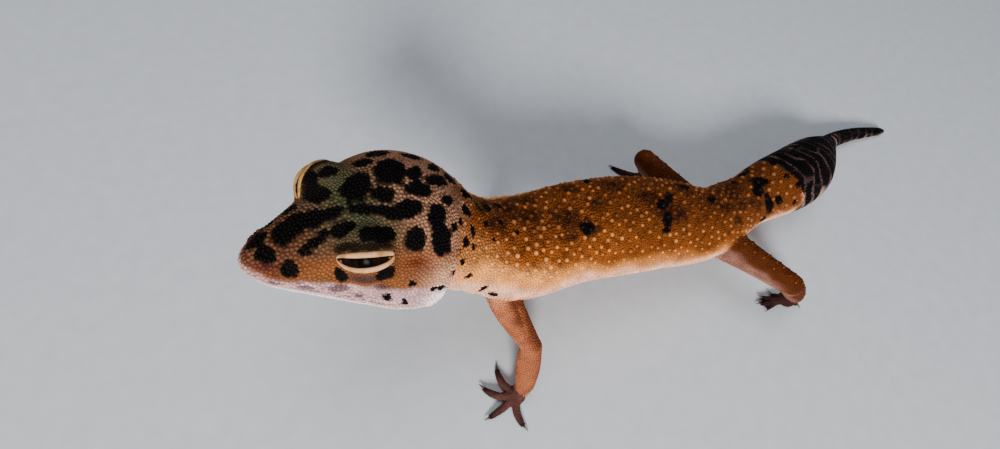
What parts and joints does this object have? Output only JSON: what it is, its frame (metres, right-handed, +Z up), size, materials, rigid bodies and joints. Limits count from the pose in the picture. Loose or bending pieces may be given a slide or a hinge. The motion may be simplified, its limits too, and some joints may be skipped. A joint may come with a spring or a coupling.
{
  "type": "leopard gecko",
  "caption": "Life-size still model of a leopard gecko in mid step, head raised and turned a little to its left, fat tail trailing to a thin tip.",
  "frame": {"origin": "middle of the bounding box, on the floor that the soles rest on", "axes": "+X from the head towards the tail, -Y to the animal's left side, +Z up"},
  "size_m": [0.1738, 0.0578, 0.0491],
  "materials": {
    "head_skin": "fine scales, black spots on tan",
    "body_skin": "fine scales with pale conical tubercles on orange brown",
    "tail_skin": "scales in rings, near black with a pale net",
    "limb_skin": "fine scales",
    "foot_skin": "dark fine scales",
    "ear": "thin dark skin",
    "eye": "wet and glossy",
    "claw": "horn"
  },
  "bodies": {
    "root": {"head": "head_skin", "lower_jaw": "head_skin", "eye_left": "eye", "eye_right": "eye", "ear_left": "ear", "ear_right": "ear", "neck": "body_skin", "trunk": "body_skin", "tail_base": "body_skin", "tail_bulb": "tail_skin", "tail_tip": "tail_skin", "upper_arm_left": "limb_skin", "forearm_left": "limb_skin", "hand_left": "foot_skin", "upper_arm_right": "limb_skin", "forearm_right": "limb_skin", "hand_right": "foot_skin", "thigh_left": "limb_skin", "shank_left": "limb_skin", "foot_left": "foot_skin", "thigh_right": "limb_skin", "shank_right": "limb_skin", "foot_right": "foot_skin", "claw_hand_left_1": "claw", "claw_hand_left_2": "claw", "claw_hand_left_3": "claw", "claw_hand_left_4": "claw", "claw_hand_left_5": "claw", "claw_hand_right_1": "claw", "claw_hand_right_2": "claw", "claw_hand_right_3": "claw", "claw_hand_right_4": "claw", "claw_hand_right_5": "claw", "claw_foot_left_1": "claw", "claw_foot_left_2": "claw", "claw_foot_left_3": "claw", "claw_foot_left_4": "claw", "claw_foot_left_5": "claw", "claw_foot_right_1": "claw", "claw_foot_right_2": "claw", "claw_foot_right_3": "claw", "claw_foot_right_4": "claw", "claw_foot_right_5": "claw"}
  },
  "joints": []
}
